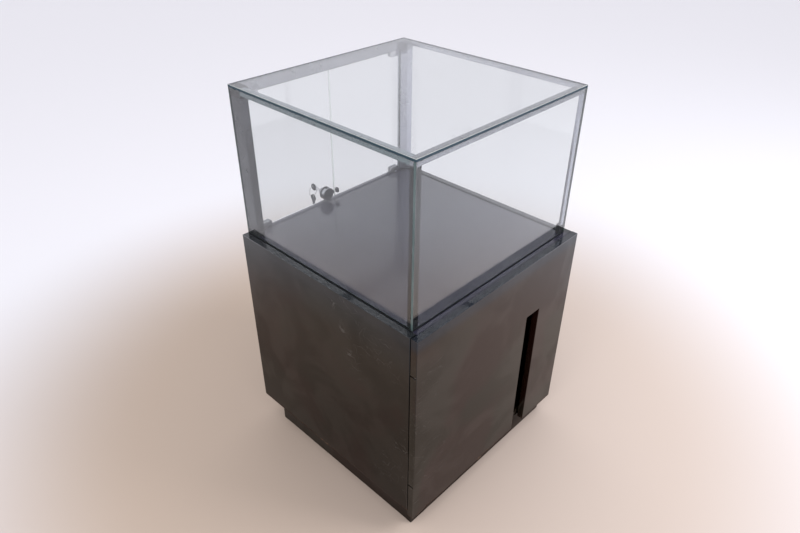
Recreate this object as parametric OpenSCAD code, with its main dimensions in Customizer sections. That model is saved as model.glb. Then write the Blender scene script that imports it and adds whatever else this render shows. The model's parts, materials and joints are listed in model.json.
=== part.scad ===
// Pedestal display case: a gloss black cabinet on a recessed plinth, with a slotted storage door,
// under a framed glass case with two swinging, lockable glass leaves.
// Frame: the floor is z = 0, X runs along the slotted storage door, and the glass leaves face +Y.
// The Y zero is midway between the storage door's face and the tip of the hanging spare key.

/* [Base cabinet] */
// Width of the base
base_w = 600; // [500:10:800]
// Depth of the base with its storage door closed
base_d = 600; // [500:10:800]
// Height of the display deck above the floor
deck_z = 620; // [560:10:900]
// Thickness of the boards
board_t = 18; // [16:1:22]
// Gap between the storage door and the left side, in which the door's hinged corner turns
door_gap = 2.5; // [2.2:0.1:4]
// Gap between the storage door and the deck's front edge
door_seam = 0.5; // [0.5:0.1:2]
// How far the storage door hangs below the cabinet
door_drop = 15; // [0:1:30]

/* [Plinth] */
// Height of the plinth
plinth_h = 70; // [60:5:120]
// Inset of the plinth at the left and right
plinth_side_inset = 18; // [18:1:60]
// Inset of the plinth behind the storage door's face
plinth_front_inset = 22; // [22:1:60]
// Inset of the plinth below the glass leaves
plinth_back_inset = 58; // [20:1:80]

/* [Hand slot] */
// Width of the slot that the storage door is pulled by
slot_w = 54; // [30:1:70]
// Distance from the slot's centre to the right edge of the door
slot_edge = 164; // [90:1:220]
// Height of the slot's top above the floor
slot_top = 455; // [200:5:480]

/* [Glass case] */
// Height of the glass case above the deck
case_h = 380; // [300:10:600]
// Inset of the side panes from the sides of the base
case_side_inset = 18; // [18:1:40]
// Inset of the front pane from the storage door's face
case_front_inset = 30; // [28:1:60]
// Thickness of the glass
pane_t = 6; // [5:1:8]
// Thickness of the black strip that the panes stand on
seat_t = 2; // [1:0.5:3]
// Width of the posts and the header
frame_w = 20; // [20:1:30]
// Width of the slim angles along the other edges
angle_w = 12; // [8:1:20]
// Depth of the two posts beside the glass leaves
post_d = 40; // [30:1:60]
// Wall of the frame profiles
frame_wall = 1.5; // [1:0.5:2]
// Height of the black feet under the front corner angles
corner_foot_h = 25; // [10:1:40]
// Height of the black feet under the posts
post_foot_h = 12; // [5:1:30]

/* [Glass leaves] */
// Gap beside and between the leaves
leaf_gap = 2; // [1.5:0.5:3]
// Distance from the back of the case to the middle of a leaf
leaf_inset = 9; // [9:0.5:10]
// Gap between a leaf's edge and the deck or the header
leaf_lift = 5; // [5:0.5:7]
// Distance from a leaf's hinged edge to its pivot
pivot_in = 15; // [13:1:15]
// Width of a pivot clamp
clamp_w = 30; // [26:1:40]
// Height of a pivot clamp
clamp_h = 15; // [14:1:30]
// Radius of the pivot pins
pivot_r = 3; // [2.5:0.1:3.5]

/* [Lock] */
// Distance from the middle of the case to the lock
lock_x = 28; // [26:1:36]
// Height of the lock's axis above the deck
lock_up = 22.5; // [22.5:0.5:24]
// Radius of the lock's round covers
lock_r = 18; // [17:0.5:20]
// Radius of the turning plug
plug_r = 7; // [6:0.5:8]
// Radius of a key's bow
bow_r = 10; // [8:0.5:11]
// Radius of the key ring
ring_r = 13; // [8:0.5:14]

/* [Hidden] */
$fn = 48;

// Colours, as the piece looks in the room
gloss_black = [0.07, 0.06, 0.06];
raw_board = [0.55, 0.43, 0.30];
dark_aluminium = [0.20, 0.20, 0.21];
soft_black = [0.05, 0.05, 0.05];
clear_glass = [0.72, 0.84, 0.80, 0.35];
bright_steel = [0.75, 0.76, 0.78];
beech = [0.78, 0.62, 0.42];
white_nylon = [0.85, 0.85, 0.82];

// Clearances
fit = 0.05;        // radial clearance of a turning or seated round fit
over = 1;          // how far a cutter runs past a face
slack = 0.5;       // gap between pieces that pass each other

// Key, ring and how far they reach past the back of the case
key_t = 2;
blade_h = 7.6;
blade_len = 20;
stem_len = 18.5;
bow_hole_r = 2.6;
bow_hole_in = 4.5;
shoulder_in = bow_r + 3.5;
shoulder_half = 5.5;
cut_start = 4;
cut_pitch = 4.5;
cut_s = 2;
wire_r = 0.8;
wire_play = 0.15;
collar_out = 12;
plug_face_out = collar_out + 0.5;
bow_out = plug_face_out + stem_len + shoulder_in;
ring_out = bow_out + bow_r - bow_hole_in;
key_reach = ring_out + bow_r;

// Main planes
side_x = base_w / 2;
inner_x = side_x - board_t;
front_y = -(base_d + key_reach) / 2;
back_y = front_y + base_d;
cabinet_y = front_y + board_t + door_gap;
deck_y0 = front_y + board_t + door_seam;
back_in_y = back_y - board_t;
floor_z = plinth_h + board_t;
ceiling_z = deck_z - board_t;
plinth_x = side_x - plinth_side_inset;
plinth_y0 = front_y + plinth_front_inset;
plinth_y1 = back_y - plinth_back_inset;
case_x = side_x - case_side_inset;
case_y0 = front_y + case_front_inset;
frame_x = case_x - pane_t;
frame_y0 = case_y0 + pane_t;
top_z = deck_z + case_h;
frame_z = top_z - pane_t;
rail_z = frame_z - frame_w;
opening_x = frame_x - frame_w;
angle_x = frame_x - angle_w;
angle_y = frame_y0 + angle_w;
angle_z = frame_z - angle_w;
pane_z = deck_z + seat_t;
door_z0 = plinth_h - door_drop;

// Dowels between the side panels and the boards that they carry
dowel_r = 4;
dowel_len = 29;
dowel_side_depth = 10;
dowel_spare = 0.5;
dowel_margin = 60;
mid_y = (cabinet_y + back_y) / 2;
dowel_ys = [cabinet_y + dowel_margin, mid_y, back_y - dowel_margin];
dowel_zs = [floor_z + dowel_margin, (floor_z + ceiling_z) / 2, ceiling_z - dowel_margin];
deck_dowels = [for (y = dowel_ys) [y, deck_z - board_t / 2]];
floor_dowels = [for (y = dowel_ys) [y, plinth_h + board_t / 2]];
back_dowels = [for (z = dowel_zs) [back_y - board_t / 2, z]];

// Plinth blocks and the screws through them
block_s = 32;
block_drop = 15;
plinth_screw_r = 2.2;
plinth_screw_head_r = 4;
plinth_screw_head_h = 3;
plinth_screw_bite = 14;
block_x = plinth_x - board_t - block_s / 2;
block_ys = [plinth_y0 + board_t + block_s / 2, plinth_y1 - board_t - block_s / 2];

// Storage door pivot: an axis inside the door's hinged corner
axis_in = 7;
pivot_x = -side_x + axis_in;
pivot_y = front_y + axis_in;
tongue_t = 3;
kerf_gap = 0.4;
eye_r = 4.5;
eye_turn = 35;
mouth_in = 0.2;
storage_pin_r = 2.5;
storage_pin_half = 12;
door_bush_r = 4.4;
door_bush_len = 10;
bracket_margin = 100;
bracket_zs = [plinth_h + bracket_margin, deck_z - bracket_margin];
flange_t = 3;
flange_h = 30;
flange_len = 40;
arm_reach = 27;
arm_tail = 18;
flange_start = arm_tail + 4;
bracket_screw_r = 1.9;
bracket_screw_bite = 13;
bracket_screw_head_r = 3.6;
bracket_screw_head_h = 1.8;
bracket_screw_ys = [0.3 * flange_len, 0.75 * flange_len];
bracket_screw_z = 9.4;

// Magnetic catch
catch_x = inner_x - 70;
catch_w = 46;
catch_d = 16;
catch_h = 14;
magnet_w = 30;
magnet_h = 8;
magnet_depth = 11;
strike_t = 1.5;
strike_w = 40;
strike_h = 12;
catch_z = ceiling_z - catch_h / 2;
catch_screw_r = 1.5;
catch_screw_bite = 10;
catch_screw_in = 17.7;
catch_screw_head_r = 3;
catch_screw_head_h = 1.6;

// Buffers that the storage door closes against, let into the right side's front edge
buffer_r = 4;
buffer_gap = 0.3;
buffer_margin = 30;
buffer_x = side_x - board_t / 2;
buffer_zs = [plinth_h + buffer_margin, (plinth_h + deck_z) / 2, deck_z - buffer_margin];

// Leaves and pivots
leaf_y = back_y - leaf_inset;
leaf_in_y = leaf_y - pane_t / 2;
leaf_out_y = leaf_y + pane_t / 2;
leaf_edge_x = opening_x - leaf_gap;
leaf_z0 = deck_z + leaf_lift;
leaf_z1 = rail_z - leaf_lift;
leaf_axis_x = leaf_edge_x - pivot_in;
clamp_gap = 2;
clamp_z0 = deck_z + clamp_gap;
clamp_t = 17;
clamp_corner = 2.5;
clamp_x1 = leaf_axis_x + 7;
clamp_screw_xs = [clamp_x1 - clamp_w * 0.3, clamp_x1 - clamp_w * 0.7];
clamp_screw_z = clamp_z0 + clamp_h * 0.62;
grub_r = 2;
grub_sunk = 0.3;
bush_r = 5;
bush_depth = 12;
bush_flange_r = 7.5;
bush_flange_t = 1;
pin_drop = 9;
pin_rise = 2.5;
mid_leaf_z = (deck_z + rail_z) / 2;

// Lock, measured along Y from the back of the case
lock_z = deck_z + lock_up;
lock_barrel_r = 11;
cover_t = 5;
collar_r = plug_r + 2.5;
tail_r = 4;
keyway_w = 2.2;
keyway_h = 8;
keyway_depth = 21;

// Where the key ring hangs in the key's bow
wire_sag = bow_hole_r - wire_r - wire_play;
ring_z = lock_z - wire_sag - ring_r;

// Inner half of the lock: a screwed plate and a cup over it, with a crank whose pin draws the bolt
plate_t = 2;
plate_screw_r = 1.2;
plate_screw_in = 9;
plate_screw_head_r = 2.2;
plate_screw_head_t = 0.8;
cup_t = 9;
cup_wall = 1.5;
cup_r = lock_r - cup_wall;
crank_t = 2;
crank_w = 6;
crank_throw = 9;
crank_hub_r = 5;
crank_seat_r = 3;
crank_pin_r = 1.2;
bolt_t = 2.2;
bolt_h = 8;
bolt_arm_top = 12;
bolt_arm_half = 3.05;
bolt_slot_half = 1.65;
bolt_slot_low = 4.7;
bolt_slot_high = 10.6;
bolt_tip_x = -6.5;
gap = 0.3;
plate_y = leaf_in_y - plate_t;
crank_y = plate_y - gap - crank_t;
bolt_y = crank_y - gap - bolt_t;
cup_y = leaf_in_y - cup_t;
pin_in = crank_throw * sin(45);

// Keeper on the right leaf
keeper_x0 = 2.5;
keeper_w = 7;
keeper_h = 12;
keeper_pocket = 5;

// A box between two opposite corners
module span(low, high) {
    translate(low) cube(high - low);
}

// The same shape on both sides of the middle plane
module both_sides() {
    children();
    mirror([1, 0, 0]) children();
}

// A round bar along +X from its start
module bar_x(start, r, length) {
    translate(start) rotate([0, 90, 0]) cylinder(r = r, h = length);
}

// A round bar along +Y from its start
module bar_y(start, r, length) {
    translate(start) rotate([-90, 0, 0]) cylinder(r = r, h = length);
}

// A round bar along +Z from its start
module bar_z(start, r, length) {
    translate(start) cylinder(r = r, h = length);
}

// A pan head screw that points along +Z, with the underside of its head at the origin
module screw(r, length, head_r, head_h) {
    cylinder(r = r, h = length);
    translate([0, 0, -head_h]) cylinder(r = head_r, h = head_h);
}

// Bores for the dowels of one board, in its own end and in the right side panel
module dowel_bores(places) {
    reach = dowel_len - dowel_side_depth + dowel_spare;
    for (p = places)
        bar_x([inner_x - reach, p[0], p[1]], dowel_r + fit, reach + dowel_side_depth + dowel_spare);
}

// A disc with a chamfered outer face, along +Y from its start
module cover_disc(start, r, t, chamfer) {
    translate(start) rotate([-90, 0, 0]) rotate_extrude()
        polygon([[0, 0], [r, 0], [r, t - chamfer], [r - chamfer, t], [0, t]]);
}

// ---- Cabinet boards ----

module deck_panel() {
    color(gloss_black) difference() {
        span([-inner_x, deck_y0, ceiling_z], [inner_x, back_y, deck_z]);
        both_sides() dowel_bores(deck_dowels);
        for (side = [-1, 1])
            bar_z([side * leaf_axis_x, leaf_y, deck_z - bush_depth], bush_r + fit, bush_depth + over);
        for (side = [-1, 1])
            bar_z([catch_x + side * catch_screw_in, cabinet_y + catch_d / 2, ceiling_z - over],
                catch_screw_r + fit, catch_screw_bite + 1 + over);
    }
}

// The right side panel, or the left one's mirror image, from its front edge
module side_panel(y0) {
    color(gloss_black) difference() {
        span([inner_x, y0, plinth_h], [side_x, back_y, deck_z]);
        dowel_bores(deck_dowels);
        dowel_bores(floor_dowels);
        dowel_bores(back_dowels);
    }
}

module right_side_panel() {
    color(gloss_black) difference() {
        side_panel(deck_y0);
        for (z = buffer_zs)
            bar_y([buffer_x, deck_y0 - over, z], buffer_r + fit, cabinet_y - deck_y0 + over);
    }
}

module left_side_panel() {
    color(gloss_black) difference() {
        mirror([1, 0, 0]) side_panel(cabinet_y);
        for (z = bracket_zs)
            bracket_screw_places(z)
                cylinder(r = bracket_screw_r + fit, h = bracket_screw_bite + 1);
    }
}

module back_panel() {
    color(gloss_black) difference() {
        span([-inner_x, back_in_y, floor_z], [inner_x, back_y, ceiling_z]);
        both_sides() dowel_bores(back_dowels);
    }
}

module floor_panel() {
    color(gloss_black) difference() {
        span([-inner_x, cabinet_y, plinth_h], [inner_x, back_y, floor_z]);
        both_sides() dowel_bores(floor_dowels);
        for (side = [-1, 1], y = block_ys)
            bar_z([side * block_x, y, plinth_h - over], plinth_screw_r + fit, plinth_screw_bite + 0.5 + over);
    }
}

module panel_dowels() {
    start_x = inner_x - (dowel_len - dowel_side_depth);
    color(beech) both_sides()
        for (p = concat(deck_dowels, floor_dowels, back_dowels))
            bar_x([start_x, p[0], p[1]], dowel_r, dowel_len);
}

// ---- Plinth ----

module plinth_front_board() {
    color(gloss_black) span([-plinth_x, plinth_y0, 0], [plinth_x, plinth_y0 + board_t, plinth_h]);
}

module plinth_back_board() {
    color(gloss_black) span([-plinth_x, plinth_y1 - board_t, 0], [plinth_x, plinth_y1, plinth_h]);
}

module plinth_right_board() {
    color(gloss_black)
        span([plinth_x - board_t, plinth_y0 + board_t, 0], [plinth_x, plinth_y1 - board_t, plinth_h]);
}

module plinth_left_board() mirror([1, 0, 0]) plinth_right_board();

module plinth_corner_blocks() {
    half = block_s / 2;
    color(raw_board) for (side = [-1, 1], y = block_ys) difference() {
        span([side * block_x - half, y - half, block_drop], [side * block_x + half, y + half, plinth_h]);
        bar_z([side * block_x, y, 0], plinth_screw_r + fit, plinth_h + over);
    }
}

module plinth_screws() {
    color(bright_steel) for (side = [-1, 1], y = block_ys)
        translate([side * block_x, y, block_drop])
            screw(plinth_screw_r, plinth_h - block_drop + plinth_screw_bite, plinth_screw_head_r,
                plinth_screw_head_h);
}

// ---- Storage door hinges ----

// Places on the side panel's inner face where a bracket's screws go in, pointing along -X
module bracket_screw_places(z) {
    for (y = bracket_screw_ys, side = [-1, 1])
        translate([-inner_x, pivot_y + flange_start + y, z + side * bracket_screw_z])
            rotate([0, -90, 0]) children();
}

// A steel tongue that carries the pivot pin inside the door's corner, on a flange screwed to the side
module pivot_bracket(z) {
    side = board_t - axis_in;
    mouth = side + door_gap - mouth_in;
    eye_x = eye_r * sin(eye_turn);
    eye_y = eye_r * cos(eye_turn);
    flange_end = flange_start + flange_len;
    translate([pivot_x, pivot_y, z]) difference() {
        union() {
            translate([0, 0, -tongue_t / 2]) cylinder(r = eye_r, h = tongue_t);
            translate([0, 0, -tongue_t / 2]) linear_extrude(tongue_t)
                polygon([[eye_x, -eye_y], [arm_reach, mouth], [arm_reach, flange_end], [side, flange_end],
                    [side, mouth], [-eye_x, eye_y]]);
            span([side, flange_start, -flange_h / 2], [side + flange_t, flange_end, flange_h / 2]);
        }
        bar_z([0, 0, -over - tongue_t], storage_pin_r + fit, 3 * tongue_t);
        translate([-pivot_x, -pivot_y, -z]) bracket_screw_places(z)
            translate([0, 0, -flange_t - over]) cylinder(r = bracket_screw_r + fit, h = flange_t + 2 * over);
    }
}

module pivot_brackets() {
    color(bright_steel) for (z = bracket_zs) pivot_bracket(z);
}

module bracket_screws() {
    color(bright_steel) for (z = bracket_zs) bracket_screw_places(z)
        translate([0, 0, -flange_t])
            screw(bracket_screw_r, flange_t + bracket_screw_bite, bracket_screw_head_r, bracket_screw_head_h);
}

module storage_pivot_pins() {
    color(bright_steel) for (z = bracket_zs)
        bar_z([pivot_x, pivot_y, z - storage_pin_half], storage_pin_r, 2 * storage_pin_half);
}

// ---- Storage door ----

module storage_door() {
    slot_x = side_x - slot_edge;
    kerf_half = tongue_t / 2 + kerf_gap;
    color(gloss_black) difference() {
        span([-side_x, front_y, door_z0], [side_x, front_y + board_t, deck_z]);
        span([slot_x - slot_w / 2, front_y - over, door_z0 - over],
            [slot_x + slot_w / 2, front_y + board_t + over, slot_top]);
        for (z = bracket_zs) {
            span([-side_x - over, pivot_y - eye_r - kerf_gap, z - kerf_half],
                [pivot_x + arm_reach, front_y + board_t + over, z + kerf_half]);
            bar_z([pivot_x, pivot_y, z - kerf_half - door_bush_len],
                door_bush_r, 2 * (kerf_half + door_bush_len));
            bar_z([pivot_x, pivot_y, z - storage_pin_half - 1],
                storage_pin_r + fit, 2 * storage_pin_half + 2);
        }
    }
}

module storage_door_bushes() {
    kerf_half = tongue_t / 2 + kerf_gap;
    color(white_nylon) for (z = bracket_zs, start = [kerf_half, -kerf_half - door_bush_len])
        translate([pivot_x, pivot_y, z + start]) difference() {
            cylinder(r = door_bush_r, h = door_bush_len);
            bar_z([0, 0, -over], storage_pin_r + fit, door_bush_len + 2 * over);
        }
}

// ---- Catch and buffers ----

module catch_housing() {
    color(soft_black) difference() {
        span([catch_x - catch_w / 2, cabinet_y, ceiling_z - catch_h],
            [catch_x + catch_w / 2, cabinet_y + catch_d, ceiling_z]);
        span([catch_x - magnet_w / 2, cabinet_y - over, catch_z - magnet_h / 2],
            [catch_x + magnet_w / 2, cabinet_y + magnet_depth, catch_z + magnet_h / 2]);
        for (side = [-1, 1])
            bar_z([catch_x + side * catch_screw_in, cabinet_y + catch_d / 2, ceiling_z - catch_h - over],
                catch_screw_r + fit, catch_h + 2 * over);
    }
}

module catch_magnet() {
    color(bright_steel)
        span([catch_x - magnet_w / 2, front_y + board_t + strike_t + slack, catch_z - magnet_h / 2],
            [catch_x + magnet_w / 2, cabinet_y + magnet_depth, catch_z + magnet_h / 2]);
}

module catch_screws() {
    color(bright_steel) for (side = [-1, 1])
        translate([catch_x + side * catch_screw_in, cabinet_y + catch_d / 2, ceiling_z - catch_h])
            screw(catch_screw_r, catch_h + catch_screw_bite, catch_screw_head_r, catch_screw_head_h);
}

module catch_strike_plate() {
    y = front_y + board_t;
    color(bright_steel) span([catch_x - strike_w / 2, y, catch_z - strike_h / 2],
        [catch_x + strike_w / 2, y + strike_t, catch_z + strike_h / 2]);
}

module door_buffers() {
    color(soft_black) for (z = buffer_zs)
        bar_y([buffer_x, front_y + board_t + buffer_gap, z], buffer_r, door_gap - buffer_gap);
}

// ---- Fixed glass ----

module glass_front() {
    color(clear_glass) span([-case_x, case_y0, pane_z], [case_x, frame_y0, frame_z]);
}

module glass_right() {
    color(clear_glass) span([frame_x, frame_y0, pane_z], [case_x, back_y, frame_z]);
}

module glass_left() mirror([1, 0, 0]) glass_right();

module glass_top() {
    color(clear_glass) span([-case_x, case_y0, frame_z], [case_x, back_y, top_z]);
}

module glass_seat_strips() {
    color(soft_black) {
        span([-case_x, case_y0, deck_z], [case_x, frame_y0, pane_z]);
        both_sides() span([frame_x, frame_y0 + fit, deck_z], [case_x, back_y, pane_z]);
    }
}

// ---- Frame of the glass case ----

module right_post() {
    wall = frame_wall;
    color(dark_aluminium) difference() {
        span([opening_x, back_y - post_d, deck_z + post_foot_h], [frame_x, back_y, rail_z]);
        span([opening_x + wall, back_y - post_d + wall, deck_z], [frame_x - wall, back_y - wall, top_z]);
    }
}

module left_post() mirror([1, 0, 0]) right_post();

module door_header() {
    wall = frame_wall;
    color(dark_aluminium) difference() {
        span([-opening_x, back_y - frame_w, rail_z], [opening_x, back_y, frame_z]);
        span([-opening_x - over, back_y - frame_w + wall, rail_z + wall],
            [opening_x + over, back_y - wall, frame_z - wall]);
        for (side = [-1, 1])
            bar_z([side * leaf_axis_x, leaf_y, rail_z - over], bush_r + fit, wall + 2 * over);
    }
}

module front_top_rail() {
    color(dark_aluminium) difference() {
        span([-angle_x, frame_y0, angle_z], [angle_x, angle_y, frame_z]);
        span([-angle_x - over, frame_y0 + frame_wall, angle_z - over],
            [angle_x + over, angle_y + over, frame_z - frame_wall]);
    }
}

module right_top_rail() {
    end = back_y - post_d;
    color(dark_aluminium) difference() {
        span([angle_x, angle_y, angle_z], [frame_x, end, frame_z]);
        span([angle_x - over, angle_y - over, angle_z - over],
            [frame_x - frame_wall, end + over, frame_z - frame_wall]);
    }
}

module left_top_rail() mirror([1, 0, 0]) right_top_rail();

module right_corner_angle() {
    color(dark_aluminium) difference() {
        span([angle_x, frame_y0, deck_z + corner_foot_h], [frame_x, angle_y, angle_z]);
        span([angle_x - over, frame_y0 + frame_wall, deck_z],
            [frame_x - frame_wall, angle_y + over, top_z]);
    }
}

module left_corner_angle() mirror([1, 0, 0]) right_corner_angle();

module front_top_connectors() {
    color(dark_aluminium) both_sides()
        span([angle_x, frame_y0, angle_z], [frame_x, angle_y, frame_z]);
}

module post_top_connectors() {
    color(soft_black) both_sides() span([opening_x, back_y - post_d, rail_z], [frame_x, back_y, frame_z]);
}

module front_corner_feet() {
    color(soft_black) both_sides()
        span([angle_x, frame_y0, deck_z], [frame_x, angle_y, deck_z + corner_foot_h]);
}

module post_feet() {
    color(soft_black) both_sides()
        span([opening_x, back_y - post_d, deck_z], [frame_x, back_y, deck_z + post_foot_h]);
}

// ---- Leaf pivots on the fixed frame ----

// The flanged bush of a bottom pivot, let into the deck
module pivot_bush() {
    translate([leaf_axis_x, leaf_y, deck_z]) difference() {
        union() {
            bar_z([0, 0, -bush_depth], bush_r, bush_depth);
            cylinder(r = bush_flange_r, h = bush_flange_t);
        }
        bar_z([0, 0, -bush_depth + 1.5], pivot_r + fit, bush_depth + bush_flange_t);
    }
}

// Repeats a bottom pivot's piece at the top, upside down
module top_and_bottom() {
    children();
    translate([0, 0, 2 * mid_leaf_z]) mirror([0, 0, 1]) children();
}

module leaf_pivot_bushes() {
    color(bright_steel) both_sides() top_and_bottom() pivot_bush();
}

// ---- Swinging leaves ----

module leaf_pane() {
    span([leaf_gap / 2, leaf_in_y, leaf_z0], [leaf_edge_x, leaf_out_y, leaf_z1]);
}

// A clamp that grips the lower edge of the pane, with a rounded upper corner
module leaf_clamp() {
    slot = pane_t / 2 + fit;
    difference() {
        translate([clamp_x1, leaf_y + clamp_t / 2, clamp_z0]) rotate([90, 0, 0]) linear_extrude(clamp_t)
            mirror([1, 0]) clamp_outline();
        span([clamp_x1 - clamp_w - over, leaf_y - slot, leaf_z0],
            [clamp_x1 + over, leaf_y + slot, deck_z + 2 * clamp_h]);
        bar_z([leaf_axis_x, leaf_y, clamp_z0 - over], pivot_r + fit, leaf_z0 - clamp_z0 + 2 * over);
        for (x = clamp_screw_xs)
            bar_y([x, leaf_y, clamp_screw_z], grub_r + fit, clamp_t);
    }
}

module clamp_outline() {
    square([clamp_w, clamp_h - clamp_corner]);
    square([clamp_w - clamp_corner, clamp_h]);
    translate([clamp_w - clamp_corner, clamp_h - clamp_corner]) circle(r = clamp_corner);
}

module leaf_pin() {
    bar_z([leaf_axis_x, leaf_y, clamp_z0 - pin_drop - clamp_gap], pivot_r, pin_drop + clamp_gap + pin_rise);
}

// Two grub screws that press the pane into its clamp
module clamp_grubs() {
    slot = pane_t / 2 + fit;
    for (x = clamp_screw_xs)
        bar_y([x, leaf_y + slot, clamp_screw_z], grub_r, clamp_t / 2 - slot - grub_sunk);
}

module right_leaf() color(clear_glass) leaf_pane();

module left_leaf() {
    color(clear_glass) difference() {
        mirror([1, 0, 0]) leaf_pane();
        bar_y([-lock_x, leaf_in_y - over, lock_z], lock_barrel_r + fit, pane_t + 2 * over);
    }
}

module right_leaf_clamps() color(bright_steel) top_and_bottom() leaf_clamp();

module left_leaf_clamps() mirror([1, 0, 0]) right_leaf_clamps();

module right_leaf_pivot_pins() color(bright_steel) top_and_bottom() leaf_pin();

module left_leaf_pivot_pins() mirror([1, 0, 0]) right_leaf_pivot_pins();

module right_clamp_screws() color(soft_black) top_and_bottom() clamp_grubs();

module left_clamp_screws() mirror([1, 0, 0]) right_clamp_screws();

// The keeper on the right leaf: a block with a pocket that the bolt slides into
module lock_keeper() {
    color(bright_steel) difference() {
        span([keeper_x0, cup_y, lock_z - keeper_h / 2],
            [keeper_x0 + keeper_w, leaf_in_y, lock_z + keeper_h / 2]);
        span([keeper_x0 - over, bolt_y - slack, lock_z - bolt_h / 2 - slack],
            [keeper_x0 + keeper_pocket, bolt_y + bolt_t + slack, lock_z + bolt_h / 2 + slack]);
    }
}

// ---- Lock ----

// Repeats a piece at both screws of the lock
module plate_screw_places() {
    for (side = [-1, 1]) translate([-lock_x + side * plate_screw_in, 0, lock_z]) children();
}

module lock_case() {
    color(bright_steel) difference() {
        union() {
            cover_disc([-lock_x, leaf_out_y, lock_z], lock_r, cover_t, 2);
            cover_disc([-lock_x, leaf_out_y, lock_z], collar_r, back_y + collar_out - leaf_out_y, 1.2);
            bar_y([-lock_x, leaf_in_y, lock_z], lock_barrel_r, pane_t);
        }
        bar_y([-lock_x, leaf_in_y - over, lock_z], plug_r + fit, back_y + collar_out - leaf_in_y + 2 * over);
        plate_screw_places() bar_y([0, leaf_in_y - over, 0], plate_screw_r + fit, pane_t + over);
    }
}

module lock_inner_plate() {
    color(bright_steel) difference() {
        bar_y([-lock_x, plate_y, lock_z], cup_r - fit, plate_t);
        bar_y([-lock_x, plate_y - over, lock_z], tail_r + fit, plate_t + 2 * over);
        plate_screw_places() {
            bar_y([0, plate_y - over, 0], plate_screw_r + fit, plate_t + 2 * over);
            bar_y([0, plate_y - over, 0], plate_screw_head_r + fit, over + plate_t / 2);
        }
    }
}

module lock_plate_screws() {
    color(bright_steel) plate_screw_places()
        translate([0, plate_y + plate_t / 2, 0]) rotate([-90, 0, 0])
            screw(plate_screw_r, pane_t, plate_screw_head_r, plate_screw_head_t);
}

// The cup over the inner plate, with a window for the bolt
module lock_inner_cover() {
    color(bright_steel) difference() {
        translate([-lock_x, leaf_in_y, lock_z]) mirror([0, 1, 0]) cover_disc([0, 0, 0], lock_r, cup_t, 1.2);
        bar_y([-lock_x, cup_y + cup_wall, lock_z], cup_r, cup_t);
        span([-lock_x, bolt_y - gap, lock_z - bolt_h / 2 - gap],
            [-lock_x + lock_r + over, bolt_y + bolt_t + gap / 2, lock_z + bolt_h / 2 + gap]);
    }
}

module lock_plug() {
    plug_y0 = leaf_in_y + gap;
    face_y = back_y + plug_face_out;
    color(bright_steel) difference() {
        union() {
            bar_y([-lock_x, plug_y0, lock_z], plug_r, face_y - plug_y0);
            bar_y([-lock_x, plate_y - gap, lock_z], tail_r, plug_y0 + over - plate_y + gap);
            bar_y([-lock_x, crank_y, lock_z], crank_seat_r, crank_t + over);
        }
        span([-lock_x - keyway_w / 2, face_y - keyway_depth, lock_z - keyway_h / 2],
            [-lock_x + keyway_w / 2, face_y + over, lock_z + keyway_h / 2]);
    }
}

// The crank rests towards the hinge with the bolt drawn in, and a quarter turn shoots the bolt
module lock_crank() {
    color(bright_steel) translate([-lock_x, crank_y, lock_z]) difference() {
        union() {
            bar_y([0, 0, 0], crank_hub_r, crank_t);
            rotate([0, -45, 0]) span([-crank_w / 2, 0, 0], [crank_w / 2, crank_t, crank_throw]);
            bar_y([-pin_in, 0, pin_in], crank_w / 2, crank_t);
            bar_y([-pin_in, -gap - bolt_t, pin_in], crank_pin_r, gap + bolt_t + over);
        }
        bar_y([0, -over, 0], crank_seat_r + fit, crank_t + 2 * over);
    }
}

// The sliding bolt: a flat bar with an upright slotted arm for the crank's pin
module lock_bolt() {
    color(bright_steel) difference() {
        union() {
            span([-lock_x - pin_in - bolt_arm_half, bolt_y, lock_z - bolt_h / 2],
                [bolt_tip_x, bolt_y + bolt_t, lock_z + bolt_h / 2]);
            span([-lock_x - pin_in - bolt_arm_half, bolt_y, lock_z],
                [-lock_x - pin_in + bolt_arm_half, bolt_y + bolt_t, lock_z + bolt_arm_top]);
        }
        span([-lock_x - pin_in - bolt_slot_half, bolt_y - over, lock_z + bolt_slot_low],
            [-lock_x - pin_in + bolt_slot_half, bolt_y + bolt_t + over, lock_z + bolt_slot_high]);
    }
}

// ---- Keys and ring ----

// A key along -Y: its bow's centre is at the origin, and the bow's hole is towards +Y
module plain_key() {
    tip = -shoulder_in - stem_len - blade_len;
    difference() {
        union() {
            bar_x([-key_t / 2, 0, 0], bow_r, key_t);
            span([-key_t / 2, -shoulder_in, -shoulder_half], [key_t / 2, 0, shoulder_half]);
            span([-key_t / 2, tip, -blade_h / 2], [key_t / 2, -bow_r, blade_h / 2]);
        }
        bar_x([-key_t, bow_r - bow_hole_in, 0], bow_hole_r, 2 * key_t);
        for (cut = [0:3])
            translate([0, tip + cut_start + cut_pitch * cut, blade_h / 2 + cut_s / 5])
                rotate([45, 0, 0]) cube([2 * key_t, cut_s, cut_s], center = true);
    }
}

module door_key() {
    color(bright_steel) translate([-lock_x, back_y + bow_out, lock_z]) plain_key();
}

module key_ring() {
    color(bright_steel) translate([-lock_x, back_y + ring_out, ring_z]) rotate([90, 0, 0])
        rotate_extrude() translate([ring_r, 0]) circle(r = wire_r, $fn = 24);
}

module spare_key() {
    hole_z = ring_z - ring_r - wire_sag;
    color(bright_steel) translate([-lock_x, back_y + ring_out, hole_z - (bow_r - bow_hole_in)])
        rotate([90, 0, 0]) plain_key();
}

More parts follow.
